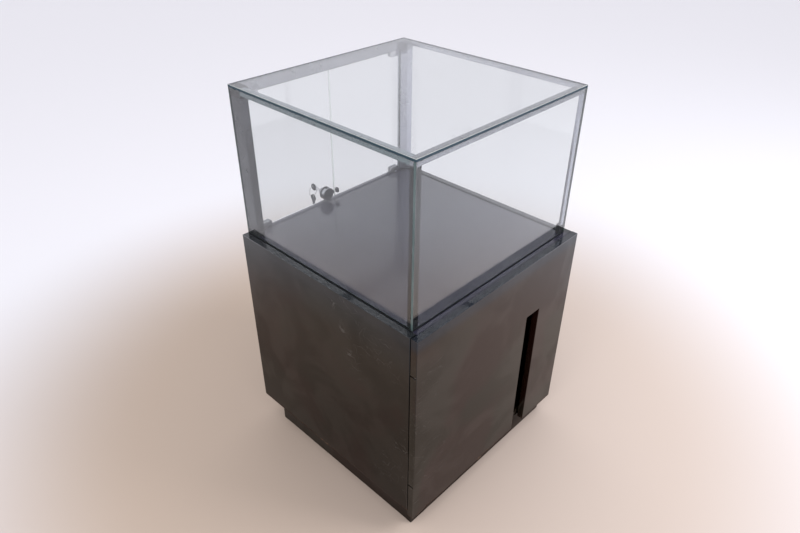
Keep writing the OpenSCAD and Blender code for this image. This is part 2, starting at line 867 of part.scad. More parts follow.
deck_panel();
left_side_panel();
right_side_panel();
back_panel();
floor_panel();
panel_dowels();
plinth_front_board();
plinth_back_board();
plinth_left_board();
plinth_right_board();
plinth_corner_blocks();
plinth_screws();
pivot_brackets();
bracket_screws();
storage_pivot_pins();
catch_housing();
catch_magnet();
catch_screws();
door_buffers();
glass_front();
glass_left();
glass_right();
glass_top();
glass_seat_strips();
left_post();
right_post();
door_header();
front_top_rail();
left_top_rail();
right_top_rail();
left_corner_angle();
right_corner_angle();
front_top_connectors();
post_top_connectors();
front_corner_feet();
post_feet();
leaf_pivot_bushes();
left_leaf();
left_leaf_clamps();
left_leaf_pivot_pins();
left_clamp_screws();
right_leaf();
right_leaf_clamps();
right_leaf_pivot_pins();
right_clamp_screws();
lock_keeper();
lock_case();
lock_inner_plate();
lock_inner_cover();
lock_plate_screws();
lock_plug();
lock_crank();
lock_bolt();
door_key();
key_ring();
spare_key();
storage_door();
storage_door_bushes();
catch_strike_plate();
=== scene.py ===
import json
import math

import bmesh
import bpy
from mathutils import Matrix, Vector


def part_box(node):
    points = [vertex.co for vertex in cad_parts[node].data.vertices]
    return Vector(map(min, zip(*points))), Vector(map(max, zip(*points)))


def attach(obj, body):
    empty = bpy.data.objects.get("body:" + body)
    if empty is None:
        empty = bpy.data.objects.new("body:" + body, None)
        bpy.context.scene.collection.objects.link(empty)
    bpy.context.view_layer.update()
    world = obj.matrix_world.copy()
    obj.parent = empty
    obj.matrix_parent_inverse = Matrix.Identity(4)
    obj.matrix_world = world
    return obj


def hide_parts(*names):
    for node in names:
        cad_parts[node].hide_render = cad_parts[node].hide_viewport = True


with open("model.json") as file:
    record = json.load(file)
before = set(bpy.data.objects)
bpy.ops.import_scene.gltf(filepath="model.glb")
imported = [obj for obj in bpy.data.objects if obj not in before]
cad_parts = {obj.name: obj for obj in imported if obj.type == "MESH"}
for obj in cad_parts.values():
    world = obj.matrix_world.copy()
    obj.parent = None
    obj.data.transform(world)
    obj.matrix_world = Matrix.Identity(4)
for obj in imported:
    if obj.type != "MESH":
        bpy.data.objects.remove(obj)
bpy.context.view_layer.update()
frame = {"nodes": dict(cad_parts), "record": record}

record = frame["record"]
body_of = {n: body for body, members in record["behaviour"]["bodies"].items() for n in members}
scene = bpy.context.scene
X, Y, Z = Vector((1, 0, 0)), Vector((0, 1, 0)), Vector((0, 0, 1))

# Outer planes of the cabinet, read from its boards
side_low, side_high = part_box("right_side_panel")
door_low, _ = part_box("storage_door")
SIDE_X, FRONT_Y, BACK_Y = side_high.x, door_low.y, side_high.y
BASE_Z, DECK_Z = side_low.z, side_high.z

# Heights where the gloss (haze) and the painted reflection tones (upper and brow) of the lacquer's
# upright faces
# change: where each change starts (the brow's is counted down from the deck's top), and the span
# that it takes
HAZE_Z, HAZE_SPAN = 0.15, 0.45
UPPER_Z, UPPER_SPAN = 0.49, 0.11
BROW_DROP, BROW_SPAN = 0.040, 0.028


# ---- Shader values and finishes ----

class Wire:
    """A shader value that is written like a number: wire * 2 + other adds the Math nodes."""

    def __init__(self, finish, socket):
        self.finish, self.socket = finish, socket

    def side(self, name):
        """Another output of the same node."""
        return Wire(self.finish, self.socket.node.outputs[name])

    def worked(self, operation, a, b=0.0):
        """A Math node on two numbers or wires."""
        return self.finish.node("ShaderNodeMath", {"operation": operation}, {0: a, 1: b})

    def __add__(self, other):
        return self.worked("ADD", self, other)

    def __radd__(self, other):
        return self.worked("ADD", other, self)

    def __sub__(self, other):
        return self.worked("SUBTRACT", self, other)

    def __rsub__(self, other):
        return self.worked("SUBTRACT", other, self)

    def __mul__(self, other):
        return self.worked("MULTIPLY", self, other)

    def __rmul__(self, other):
        return self.worked("MULTIPLY", other, self)

    def __pow__(self, other):
        return self.worked("POWER", self, other)

    def __abs__(self):
        return self.worked("ABSOLUTE", self)

    def least(self, other):
        return self.worked("MINIMUM", self, other)

    def most(self, other):
        return self.worked("MAXIMUM", self, other)

    def rise(self, low, high):
        """0 below low, 1 above high, and smooth between them."""
        return self.finish.node(
            "ShaderNodeMapRange", {"interpolation_type": "SMOOTHSTEP"},
            {"Value": self, "From Min": low, "From Max": high},
        )


class Finish:
    """A material under construction, on Object coordinates in metres."""

    def __init__(self, name, tree=None):
        if tree is None:
            self.material = bpy.data.materials.new(name)
            self.material.use_nodes = True
            tree = self.material.node_tree
        self.tree = tree
        self.tree.nodes.clear()
        self.place = self.node("ShaderNodeTexCoord", out="Object")

    def node(self, kind, settings=None, inputs=None, out=0):
        """Adds a node, makes its settings, then fills its sockets with values or wires."""
        n = self.tree.nodes.new(kind)
        for key, value in (settings or {}).items():
            setattr(n, key, value)
        for key, value in (inputs or {}).items():
            if isinstance(value, Wire):
                self.tree.links.new(value.socket, n.inputs[key])
            else:
                n.inputs[key].default_value = value
        return Wire(self, n.outputs[out])

    def axes(self):
        """The place's X, Y and Z."""
        split = self.node("ShaderNodeSeparateXYZ", None, {0: self.place})
        return split, split.side("Y"), split.side("Z")

    def stretched(self, scale):
        """The place, with each axis scaled."""
        return self.node("ShaderNodeMapping", None, {"Vector": self.place, "Scale": scale})

    def noise(self, scale, detail=2.0, stretch=None, bend=0.0):
        """Noise around 0.5, with about scale cells to the metre, times the stretch of each axis."""
        spot = self.stretched(stretch) if stretch else self.place
        return self.node("ShaderNodeTexNoise", None, {
            "Vector": spot, "Scale": scale, "Detail": detail, "Distortion": bend,
        })

    def specks(self, scale):
        """Distance to the nearest of many scattered points."""
        return self.node("ShaderNodeTexVoronoi", None, {"Vector": self.place, "Scale": scale})

    def blend(self, share, a, b):
        """Colour a where share is 0 and colour b where it is 1."""
        a, b = ((*c, 1.0) if isinstance(c, tuple) else c for c in (a, b))
        return self.node("ShaderNodeMix", {"data_type": "RGBA"}, {0: share, 6: a, 7: b}, 2)

    def relief(self, height):
        """A bump whose height is in metres."""
        return self.node("ShaderNodeBump", None, {
            "Height": height, "Distance": 1.0, "Strength": 1.0,
        })

    def shader(self, colour, roughness, **sockets):
        """A Principled BSDF. Its other sockets are named with _ for each space."""
        colour = (*colour, 1.0) if isinstance(colour, tuple) else colour
        named = {key.replace("_", " "): value for key, value in sockets.items()}
        return self.node("ShaderNodeBsdfPrincipled", None, {
            "Base Color": colour, "Roughness": roughness, **named,
        })

    def done(self, surface):
        """The finished material."""
        output = self.tree.nodes.new("ShaderNodeOutputMaterial")
        self.tree.links.new(surface.socket, output.inputs["Surface"])
        return self.material


def black_lacquer(name, foot_z, low, high, brow, index, sheen, crown=0.5, blur=0.0):
    """High-gloss black lacquer on fibreboard: slow waves, orange peel, wiping marks, dust and
    chipped arrises. It has the tone low at its foot, and near its top and just below the deck's top
    the tones high and brow, which are painted reflection: tones that stand in for what the upper
    faces mirror. The coat weighs sheen more in its upper part, and crown more on the top face.
    What it mirrors is blurred by blur."""
    f = Finish(name)
    x, y, z = f.axes()
    waves = f.noise(4.2, 1.0, bend=0.4)
    peel = f.noise(160.0, 1.0)
    wiped = f.noise(7.0, 4.0, stretch=(1.0, 1.0, 0.45), bend=1.2)
    blotch = f.noise(5.0, 2.0, bend=0.8)
    mottle = f.noise(6.5, 3.0, bend=1.0).rise(0.38, 0.62) - 0.5
    dust = 1.0 - f.specks(310.0).rise(0.10, 0.20)
    settled = dust * f.noise(13.0, 2.0).rise(0.50, 0.72)
    strands = f.noise(26.0, 1.0, stretch=(0.35, 1.0, 1.6), bend=0.6)
    scratch = 1.0 - abs(strands - 0.5).rise(0.0, 0.006)
    top = (z - DECK_Z).rise(-0.0014, -0.0004)
    scratched = scratch * f.noise(5.0, 1.0).rise(0.52, 0.68) * (1.0 - top)

    across = SIDE_X - abs(x)
    along = abs(y - FRONT_Y).least(abs(y - BACK_Y))
    upright = across.most(along)
    foot = abs(z - foot_z).most(across.least(along))
    ragged = f.noise(95.0, 3.0)
    frayed = f.noise(9.0, 2.0).rise(0.30, 0.55) * (0.0028 + 0.0056 * ragged.rise(0.45, 0.75))
    chipped = 1.0 - (foot - frayed).rise(0.0, 0.0008)
    rubbed = 1.0 - (upright - 0.0006 * ragged.rise(0.74, 0.90)).rise(0.0, 0.0004)
    bare = chipped.most(rubbed)

    haze = (z - HAZE_Z).rise(0.0, HAZE_SPAN)
    # Painted reflection: the tones high and brow, blended in by height, stand in for what the upper
    # faces and the band just below the deck's top mirror
    upper = (z - UPPER_Z).rise(0.0, UPPER_SPAN)
    below_deck = (z - DECK_Z + BROW_DROP).rise(0.0, BROW_SPAN)
    redder = (1.10 * low[0], 0.85 * low[1], low[2])
    greener = (0.70 * low[0], 1.10 * low[1], low[2])
    colour = f.blend(blotch.rise(0.40, 0.60), redder, greener)
    colour = f.blend(upper * 0.5, colour, high)
    colour = f.blend(below_deck * 0.8, colour, brow)
    colour = f.blend(settled * 0.12 + scratched * 0.10, colour, (0.42, 0.40, 0.38))
    fibres = f.noise(60.0, 2.0).rise(0.58, 0.74)
    board = f.blend(fibres, (0.026, 0.010, 0.005), (0.17, 0.095, 0.055))
    colour = f.blend(bare * 0.90, colour, board)
    roughness = 0.035 + blur + 0.065 * wiped.rise(0.45, 0.75) + 0.15 * settled + 0.5 * bare
    height = 0.00022 * waves + 0.0000016 * peel - 0.0002 * bare - 0.000003 * scratched
    coat = 0.04 + sheen * haze + 0.16 * mottle + crown * top
    return f.done(f.shader(
        colour, roughness, Normal=f.relief(height), IOR=index,
        Coat_Weight=coat.most(0.0).least(1.0) * (1.0 - bare), Coat_Roughness=0.03 + blur,
    ))


def clear_glass():
    """Float glass that lets lamps straight through, with faint wiping smears."""
    f = Finish("clear_glass")
    smear = f.noise(3.2, 5.0, stretch=(1.0, 1.0, 0.35), bend=1.5)
    roughness = 0.012 * smear.rise(0.5, 0.8)
    glass = f.shader((0.880, 0.893, 0.888), roughness, Transmission_Weight=1.0, IOR=1.5)
    open_air = f.node("ShaderNodeBsdfTransparent", None, {"Color": (0.935, 0.955, 0.950, 1.0)})
    path = f.node("ShaderNodeLightPath", out="Is Shadow Ray")
    straight = path.most(path.side("Is Diffuse Ray"))
    return f.done(f.node("ShaderNodeMixShader", None, {0: straight, 1: glass, 2: open_air}))


def glass_edge(name, dark, light, painted_blue_reflection=0.0, index=1.5, coat=0.25):
    """The ground edge of float glass, with a painted blue reflection, weighed by
    painted_blue_reflection, away from the case's left side.
    """
    f = Finish(name)
    x, _, _ = f.axes()
    depth = f.noise(18.0, 3.0)
    ground = f.noise(900.0, 2.0)
    colour = f.blend(depth.rise(0.3, 0.7), dark, light)
    # Painted reflection: a bluer tone away from the case's left side
    colour = f.blend((x + SIDE_X).rise(0.010, 0.020) * painted_blue_reflection, colour, (0.028, 0.042, 0.074))
    roughness = 0.10 + 0.12 * ground.rise(0.4, 0.8)
    return f.done(f.shader(
        colour, roughness, Normal=f.relief(0.000004 * ground), IOR=index, Coat_Weight=coat,
    ))


def brushed_aluminium(name, along, painted_light_and_shade=(1.0, 1.0, 1.0)):
    """Anodised profile, with the fine lines that extrusion leaves along it. Its tones are scaled by
    painted_light_and_shade: painted light above 1, painted shade below 1, with a tint that paints
    what each copy mirrors.
    """
    def shade(*colour):
        return tuple(t * v for t, v in zip(painted_light_and_shade, colour))

    f = Finish(name)
    fine = tuple(0.010 if axis == along else 1.0 for axis in "xyz")
    broad = tuple(0.030 if axis == along else 1.0 for axis in "xyz")
    lines = f.noise(1400.0, 2.0, stretch=fine)
    bands = f.noise(260.0, 2.0, stretch=broad)
    touched = f.noise(30.0, 4.0, bend=0.8)
    dark, light = shade(0.255, 0.262, 0.285), shade(0.360, 0.370, 0.395)
    colour = f.blend(lines * 0.55 + bands * 0.45, dark, light)
    colour = f.blend(touched.rise(0.58, 0.80) * 0.35, colour, shade(0.22, 0.22, 0.235))
    roughness = 0.16 + 0.12 * lines + 0.10 * touched.rise(0.5, 0.8)
    return f.done(f.shader(colour, roughness, Metallic=1.0, Normal=f.relief(0.0000022 * lines)))


def plated(name, clean, marked, gloss, painted_reflection_below=None):
    """Metal plating with finger marks and hairline scratches, and a pale painted reflection where y
    is below painted_reflection_below."""
    f = Finish(name)
    marks = f.noise(140.0, 4.0, bend=1.0)
    strands = f.noise(420.0, 1.0, stretch=(1.0, 0.5, 0.2), bend=1.5)
    hair = 1.0 - abs(strands - 0.5).rise(0.0, 0.02)
    colour = f.blend(marks.rise(0.45, 0.8), clean, marked)
    if painted_reflection_below is not None:
        # Painted reflection: pale below the given y
        _, y, _ = f.axes()
        beyond = (y - painted_reflection_below).rise(-0.0003, 0.0003)
        colour = f.blend(beyond, (0.72, 0.72, 0.74), colour)
    roughness = gloss + 0.14 * marks.rise(0.5, 0.8) + 0.10 * hair
    return f.done(f.shader(colour, roughness, Metallic=1.0, Normal=f.relief(0.0000015 * marks)))


def zinc_plate():
    """Bright zinc plating, mottled and a little blue."""
    f = Finish("zinc_plate")
    grain = f.specks(450.0)
    cloud = f.noise(70.0, 4.0)
    colour = f.blend(cloud.rise(0.35, 0.7), (0.60, 0.62, 0.66), (0.50, 0.50, 0.50))
    colour = f.blend(grain.rise(0.2, 0.6) * 0.25, colour, (0.72, 0.72, 0.70))
    roughness = 0.26 + 0.22 * cloud.rise(0.3, 0.8)
    return f.done(f.shader(colour, roughness, Metallic=1.0, Normal=f.relief(0.000006 * cloud)))


def black_rubber():
    """Moulded black plastic and rubber with a fine matt texture."""
    f = Finish("soft_black")
    fine = f.noise(1600.0, 2.0)
    worn = f.noise(45.0, 4.0)
    colour = f.blend(worn.rise(0.4, 0.8), (0.009, 0.009, 0.010), (0.024, 0.024, 0.024))
    roughness = 0.50 + 0.22 * fine + 0.10 * worn
    return f.done(f.shader(colour, roughness, Normal=f.relief(0.000012 * fine)))


def white_nylon():
    """Plain nylon, slightly yellow where it is thick."""
    f = Finish("white_nylon")
    tone = f.noise(120.0, 3.0)
    colour = f.blend(tone, (0.84, 0.83, 0.79), (0.76, 0.74, 0.66))
    fine = f.noise(900.0, 2.0)
    return f.done(f.shader(colour, 0.38 + 0.15 * tone, Normal=f.relief(0.000008 * fine)))


def beech():
    """Beech with short flecks along the dowel."""
    f = Finish("beech")
    fleck = f.noise(420.0, 3.0, stretch=(0.12, 1.0, 1.0))
    tone = f.noise(40.0, 3.0, stretch=(0.25, 1.0, 1.0))
    colour = f.blend(tone, (0.62, 0.45, 0.28), (0.70, 0.54, 0.36))
    colour = f.blend(fleck.rise(0.58, 0.68) * 0.6, colour, (0.40, 0.25, 0.13))
    return f.done(f.shader(colour, 0.62 + 0.15 * fleck, Normal=f.relief(0.00004 * fleck)))


def sawn_softwood():
    """Sawn softwood: growth rings along Z, with saw marks."""
    f = Finish("sawn_softwood")
    wander = f.noise(18.0, 3.0, stretch=(1.0, 1.0, 0.15))
    rings = f.node("ShaderNodeTexWave", {"bands_direction": "X"}, {
        "Vector": f.stretched((1.0, 0.6, 0.08)), "Scale": 42.0, "Distortion": 2.4, "Detail": 2.0,
    })
    grain = f.noise(700.0, 2.0, stretch=(1.0, 1.0, 0.05))
    colour = f.blend(rings.rise(0.2, 0.9), (0.60, 0.43, 0.24), (0.42, 0.26, 0.12))
    colour = f.blend(grain.rise(0.55, 0.7) * 0.4 + wander * 0.1, colour, (0.30, 0.18, 0.09))
    relief = f.relief(0.00008 * rings + 0.00005 * grain)
    return f.done(f.shader(colour, 0.75 + 0.15 * grain, Normal=relief))


# The tones high and brow of each lacquer are painted reflection
LACQUER = black_lacquer(
    "black_lacquer", BASE_Z, low=(0.0073, 0.0025, 0.0008), high=(0.0045, 0.0110, 0.0150),
    brow=(0.0130, 0.0150, 0.0180), index=1.245, sheen=0.36,
)
# The door's lacquer is lighter than the side boards': painted light on the face turned towards the
# key lamp
DOOR_LACQUER = black_lacquer(
    "black_lacquer_on_door", door_low.z, low=(0.0130, 0.0060, 0.0035),
    high=(0.0120, 0.0060, 0.0020), brow=(0.0080, 0.0130, 0.0210), index=1.285, sheen=0.22,
)
# The deck's lilac tones are painted reflection
DECK_LACQUER = black_lacquer(
    "black_lacquer_on_deck", BASE_Z, low=(0.0125, 0.0085, 0.0068), high=(0.018, 0.017, 0.036),
    brow=(0.018, 0.017, 0.036), index=1.36, sheen=0.80, crown=0.0, blur=0.13,
)
GLASS = clear_glass()
TOP_EDGE = glass_edge(
    "green_glass_edge", (0.008, 0.042, 0.036), (0.022, 0.070, 0.058),
    painted_blue_reflection=0.7, index=1.3, coat=0.0,
)
GLASS_EDGE = glass_edge("pale_green_glass_edge", (0.045, 0.075, 0.075), (0.080, 0.115, 0.115))
PALE_EDGE = glass_edge("pale_ground_edge", (0.74, 0.78, 0.77), (0.84, 0.87, 0.86))
# Copies of one anodised aluminium with painted light: the ones along y and z, and the right rail's,
# are lighter and tinted for where they stand
PROFILE = {
    "x": brushed_aluminium("aluminium_along_x", "x"),
    "y": brushed_aluminium("aluminium_along_y", "y", (1.20, 1.34, 1.32)),
    "z": brushed_aluminium("aluminium_along_z_painted_lighter", "z", (1.50, 1.50, 1.58)),
}
LIGHTEST_PAINTED_PROFILE = brushed_aluminium("aluminium_along_y_painted_lightest", "y", (1.70, 1.70, 1.74))
# Copies with painted shade, darker and tinted, for the left post's and left rail's faces towards -X
# and -Y
SHADED = {
    "y": brushed_aluminium("shaded_aluminium_along_y", "y", (0.58, 0.73, 0.70)),
    "z": brushed_aluminium("shaded_aluminium_along_z", "z", (0.17, 0.17, 0.18)),
}
# The deepest painted shade, near black, for the left corner angle's faces towards -X and -Y
DARKEST_PAINTED_SHADE = brushed_aluminium("aluminium_along_z_painted_darkest", "z", (0.05, 0.05, 0.05))
CHROME = plated("polished_chrome", (0.50, 0.505, 0.52), (0.40, 0.40, 0.42), 0.07)
# Painted shade: darker copies of the chrome, the darkest for the lock's covers and the left clamps'
# arrises, the other for the lock's small parts and the key ring
NICKEL = plated("dark_nickel", (0.095, 0.098, 0.108), (0.050, 0.050, 0.056), 0.14)
DARKEST_PAINTED_PLATING = plated("plating_painted_darkest", (0.034, 0.033, 0.038), (0.022, 0.022, 0.025), 0.16)
# The key in the lock is painted pale up to its bow, a painted reflection of the backdrop; its bow,
# which is as wide as the spare key's, keeps the dark tone, a painted shade, like the spare key
spare_low, spare_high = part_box("spare_key")
BOW_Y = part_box("door_key")[1].y - (spare_high.y - spare_low.y) - 0.0002
KEY_PLATING = plated(
    "key_plating", (0.036, 0.037, 0.042), (0.022, 0.022, 0.025), 0.20, painted_reflection_below=BOW_Y,
)
ZINC = zinc_plate()
RUBBER, NYLON = black_rubber(), white_nylon()
BEECH, SOFTWOOD = beech(), sawn_softwood()


# ---- Shapes ----

# Widths of the softened edges
BOARD_ROUND, THIN_ROUND = 0.0011, 0.0006
GLASS_ARRIS, CLAMP_ARRIS = 0.0004, 0.0009
PROFILE_ROUND = 0.0003
# Distances within which planes, the CAD's points and turned points are the same
SAME_PLANE, SAME_POINT, SAME_TURNED = 0.00002, 0.000002, 0.0000005
# Angles between faces: within the first they are one plane, above the second their edge is
# softened, and above the third it is shaded as a crease
FLAT, SHARP, CREASED = (math.radians(a) for a in (0.4, 30.0, 50.0))


def block(low, high):
    """A box between two corners."""
    bm = bmesh.new()
    placed = Matrix.Translation((low + high) / 2) @ Matrix.Diagonal((*(high - low), 1.0))
    bmesh.ops.create_cube(bm, size=1.0, matrix=placed)
    return bm


def cad_copy(node):
    """The node's solid as one merged skin, with flat faces in one piece each."""
    bm = bmesh.new()
    bm.from_mesh(frame["nodes"][node].data)
    bmesh.ops.remove_doubles(bm, verts=bm.verts, dist=SAME_POINT)
    bmesh.ops.dissolve_limit(
        bm, angle_limit=FLAT, use_dissolve_boundaries=False, verts=bm.verts, edges=bm.edges,
        delimit=set(),
    )
    return bm


def eased(bm, axis, at, by):
    """Moves the face that lies in one plane, to stand clear of a neighbour."""
    for v in bm.verts:
        if abs(v.co[axis] - at) < SAME_PLANE:
            v.co[axis] += by


def sharp_edges(bm, least_length=0.0):
    """The sharp edges between two faces, if long enough."""
    return [
        e for e in bm.edges
        if len(e.link_faces) == 2 and e.calc_length() > least_length
        and e.calc_face_angle() > SHARP
    ]


def arrised(bm, width, segments=2, edges=None):
    """Takes the sharpness off the given edges, or off all sharp ones."""
    bmesh.ops.bevel(
        bm, geom=sharp_edges(bm) if edges is None else edges, offset=width, offset_type="OFFSET",
        segments=segments, profile=0.5, affect="EDGES", clamp_overlap=True, material=-1,
    )
    return bm


def turned(outline, origin, axis, steps, ring=False):
    """A piece turned about an axis. The outline is a list of (distance along the axis, radius),
    and closed where the piece is a ring."""
    bm = bmesh.new()
    verts = [bm.verts.new((radius, 0.0, along)) for along, radius in outline]
    edges = [bm.edges.new(pair) for pair in zip(verts, verts[1:])]
    if ring:
        edges.append(bm.edges.new((verts[-1], verts[0])))
    bmesh.ops.spin(
        bm, geom=verts + edges, cent=(0, 0, 0), axis=(0, 0, 1), dvec=(0, 0, 0), angle=2 * math.pi,
        steps=steps, use_merge=True, use_normal_flip=False, use_duplicate=False,
    )
    bmesh.ops.remove_doubles(bm, verts=bm.verts, dist=SAME_TURNED)
    bmesh.ops.recalc_face_normals(bm, faces=bm.faces)
    turn = Z.rotation_difference(Vector(axis)).to_matrix().to_4x4()
    bm.transform(Matrix.Translation(Vector(origin)) @ turn)
    return bm


def piece(name, parts, node, *finishes):
    """One object made of bmesh parts, in the place of a CAD node and on that node's body. Each
    face's material_index says which of the finishes it has."""
    mesh = bpy.data.meshes.new(name)
    whole = bmesh.new()
    for part in parts if isinstance(parts, list) else [parts]:
        held = bpy.data.meshes.new("held")
        part.to_mesh(held)
        part.free()
        whole.from_mesh(held)
        bpy.data.meshes.remove(held)
    whole.to_mesh(mesh)
    whole.free()
    for finish in finishes:
        mesh.materials.append(finish)
    for polygon in mesh.polygons:
        polygon.use_smooth = True
    mesh.set_sharp_from_angle(angle=CREASED)
    made = bpy.data.objects.new(name, mesh)
    scene.collection.objects.link(made)
    made.modifiers.new("even_shading", "WEIGHTED_NORMAL").keep_sharp = True
    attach(made, body_of[node])
    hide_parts(node)


# ---- Cabinet boards ----

def board(name, node, open_sides, width=BOARD_ROUND, finish=LACQUER):
    """A lacquered board, rounded along each edge where two of its open sides meet."""
    bm = cad_copy(node)
    low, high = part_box(node)

    def side_of(face):
        middle = face.calc_center_median()
        for i, letter in enumerate("xyz"):
            if face.normal[i] > 0.9 and abs(middle[i] - high[i]) < SAME_PLANE:
                return "+" + letter
            if face.normal[i] < -0.9 and abs(middle[i] - low[i]) < SAME_PLANE:
                return "-" + letter
        return None

    def is_open(edge):
        return all(side_of(face) in open_sides for face in edge.link_faces)

    picked = [e for e in sharp_edges(bm, least_length=0.03) if is_open(e)]
    piece(name, arrised(bm, width, 3, picked), node, finish)


board("deck_board", "deck_panel", ["-y", "+y", "+z"], THIN_ROUND, DECK_LACQUER)
board("left_side_board", "left_side_panel", ["-x", "-y", "+y", "+z", "-z"])
board("right_side_board", "right_side_panel", ["+x", "-y", "+y", "+z", "-z"])
board("back_board", "back_panel", ["+y"])
board("floor_board", "floor_panel", ["-y", "+y", "-z"], THIN_ROUND)
board("plinth_front", "plinth_front_board", ["-x", "+x", "-y", "-z"])
board("plinth_back", "plinth_back_board", ["-x", "+x", "+y", "-z"])
board("plinth_left", "plinth_left_board", ["-x", "-z"])
board("plinth_right", "plinth_right_board", ["+x", "-z"])

door = cad_copy("storage_door")
arrised(door, BOARD_ROUND, 3, sharp_edges(door, least_length=0.04))
piece("slotted_door", door, "storage_door", DOOR_LACQUER)


# ---- Glass ----

# Places of a pane's finishes on its mesh
FACE, RIM, PALE_RIM = range(3)
# Thickness of the clear joint between glued panes
JOINT = 0.00015


def glazed(bm, thin, clear=(), pale=(), pale_arris=False):
    """Gives clear glass to the faces across the thin axis and those in the clear planes (axis,
    place), a pale ground edge to those in the pale planes and to the upper arrises if asked, and
    the green edge to all others."""
    def lies_in(face, planes):
        middle = face.calc_center_median()
        return any(
            abs(middle[axis] - at) < 0.001 and abs(face.normal[axis]) > 0.6 for axis, at in planes
        )

    for face in bm.faces:
        if abs(face.normal[thin]) > 0.9 or lies_in(face, clear):
            face.material_index = FACE
        else:
            upper = pale_arris and face.normal[thin] > 0.5
            face.material_index = PALE_RIM if upper or lies_in(face, pale) else RIM


def pane(name, node, thin, *moves, clear=(), pale=(), pale_arris=False, edge=GLASS_EDGE):
    """A pane with ground arrises. Each move is (axis, which corner, distance) off a neighbour, to
    which it is glued there with a clear joint. Its edges in the clear planes are polished, and
    those in the pale ones ground."""
    bounds = [Vector(v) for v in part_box(node)]
    for axis, corner, by in moves:
        bounds[corner][axis] += by
    bm = arrised(block(*bounds), GLASS_ARRIS, 1)
    bm.normal_update()
    joints = [(axis, bounds[corner][axis]) for axis, corner, by in moves]
    glazed(bm, thin, joints + list(clear), pale, pale_arris)
    piece(name, bm, node, GLASS, edge, PALE_EDGE)


pane("front_pane", "glass_front", 1, (2, 1, -JOINT))
pane("left_pane", "glass_left", 0, (1, 0, JOINT), (2, 1, -JOINT))
pane("right_pane", "glass_right", 0, (1, 0, JOINT), (2, 1, -JOINT))
pane("top_pane", "glass_top", 2, pale_arris=True, edge=TOP_EDGE)
leaf_low, leaf_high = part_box("left_leaf")
pane("right_leaf_pane", "right_leaf", 1, clear=[(2, leaf_low.z)], pale=[(0, -leaf_high.x)])

leaf = cad_copy("left_leaf")
arrised(leaf, GLASS_ARRIS, 1, sharp_edges(leaf, least_length=0.05))
leaf.normal_update()
glazed(leaf, 1, clear=[(0, leaf_high.x), (2, leaf_low.z)])
piece("left_leaf_pane", leaf, "left_leaf", GLASS, GLASS_EDGE)


# ---- Frame ----

frame_low, frame_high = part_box("right_corner_angle")
FRAME_X, FRAME_Y = frame_high.x, frame_low.y
FRAME_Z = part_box("door_header")[1].z
# The profiles stand this far off the panes, which they touch in the CAD
CLEARANCE = 0.0001


def profile(name, node, finish, shaded=None, left=None):
    """A frame profile with its long edges softened. The finish shaded, a copy with painted shade,
    is on the faces towards -X and -Y, and the finish left on the solid at the left, where the node
    has one at each side."""
    bm = cad_copy(node)
    eased(bm, 0, FRAME_X, -CLEARANCE)
    eased(bm, 0, -FRAME_X, CLEARANCE)
    eased(bm, 1, FRAME_Y, CLEARANCE)
    eased(bm, 2, FRAME_Z, -CLEARANCE)
    arrised(bm, PROFILE_ROUND, 2, sharp_edges(bm, least_length=0.008))
    bm.normal_update()
    for face in bm.faces:
        if left and face.calc_center_median().x < 0:
            face.material_index = 2
        elif shaded and min(face.normal.x, face.normal.y) < -0.5:
            face.material_index = 1
    piece(name, bm, node, finish, shaded or finish, *([left] if left else []))


# Painted light and shade: the profiles' finishes are lighter and darker copies of one aluminium,
# set for where each stands
profile("left_post_profile", "left_post", PROFILE["z"], SHADED["z"])
profile("right_post_profile", "right_post", PROFILE["z"])
profile("header_profile", "door_header", PROFILE["x"])
profile("front_rail_profile", "front_top_rail", PROFILE["x"])
profile("left_rail_profile", "left_top_rail", PROFILE["y"], SHADED["y"])
profile("right_rail_profile", "right_top_rail", LIGHTEST_PAINTED_PROFILE)
profile("left_corner_profile", "left_corner_angle", PROFILE["z"], DARKEST_PAINTED_SHADE)
profile("right_corner_profile", "right_corner_angle", PROFILE["z"])
profile("front_corner_caps", "front_top_connectors", PROFILE["x"])
profile("post_caps", "post_top_connectors", PROFILE["x"], left=RUBBER)
profile("front_corner_shoes", "front_corner_feet", RUBBER)
profile("post_shoes", "post_feet", PROFILE["z"], left=RUBBER)
strips = arrised(cad_copy("glass_seat_strips"), PROFILE_ROUND)
piece("glazing_strips", strips, "glass_seat_strips", RUBBER)


# ---- Small solids that keep their CAD shape, with softened edges ----

def two_toned(bm, is_second):
    """Gives the second finish to the faces whose middle and normal pass the test."""
    bm.normal_update()
    for face in bm.faces:
        face.material_index = int(is_second(face.calc_center_median(), face.normal))
    return bm


def on_arris(middle, normal):
    """Whether a face is part of a softened edge."""
    return max(abs(c) for c in normal) < 0.96


# The left clamps' arrises are painted dark, a painted shade outline round their chrome; the right
# clamps' arrises are chrome like their faces
for name, node, arris in (
    ("left_clamps", "left_leaf_clamps", DARKEST_PAINTED_PLATING),
    ("right_clamps", "right_leaf_clamps", CHROME),
):
    clamps = two_toned(arrised(cad_copy(node), CLAMP_ARRIS), on_arris)
    piece(name, clamps, node, CHROME, arris)

for name, node, finish, width in (
    ("corner_blocks", "plinth_corner_blocks", SOFTWOOD, 0.0006),
    ("hinge_brackets", "pivot_brackets", ZINC, 0.0003),
    ("catch_body", "catch_housing", RUBBER, 0.0005),
    ("catch_magnet_block", "catch_magnet", ZINC, 0.0003),
    ("strike_plate", "catch_strike_plate", ZINC, 0.0003),
    ("keeper", "lock_keeper", NICKEL, 0.0006),
    ("crank", "lock_crank", NICKEL, 0.0002),
    ("bolt", "lock_bolt", NICKEL, 0.0002),
    ("plug", "lock_plug", NICKEL, 0.0003),
    ("door_key_blank", "door_key", KEY_PLATING, 0.0002),
    ("spare_key_blank", "spare_key", KEY_PLATING, 0.0002),
):
    piece(name, arrised(cad_copy(node), width), node, finish)


# ---- Turned pieces ----

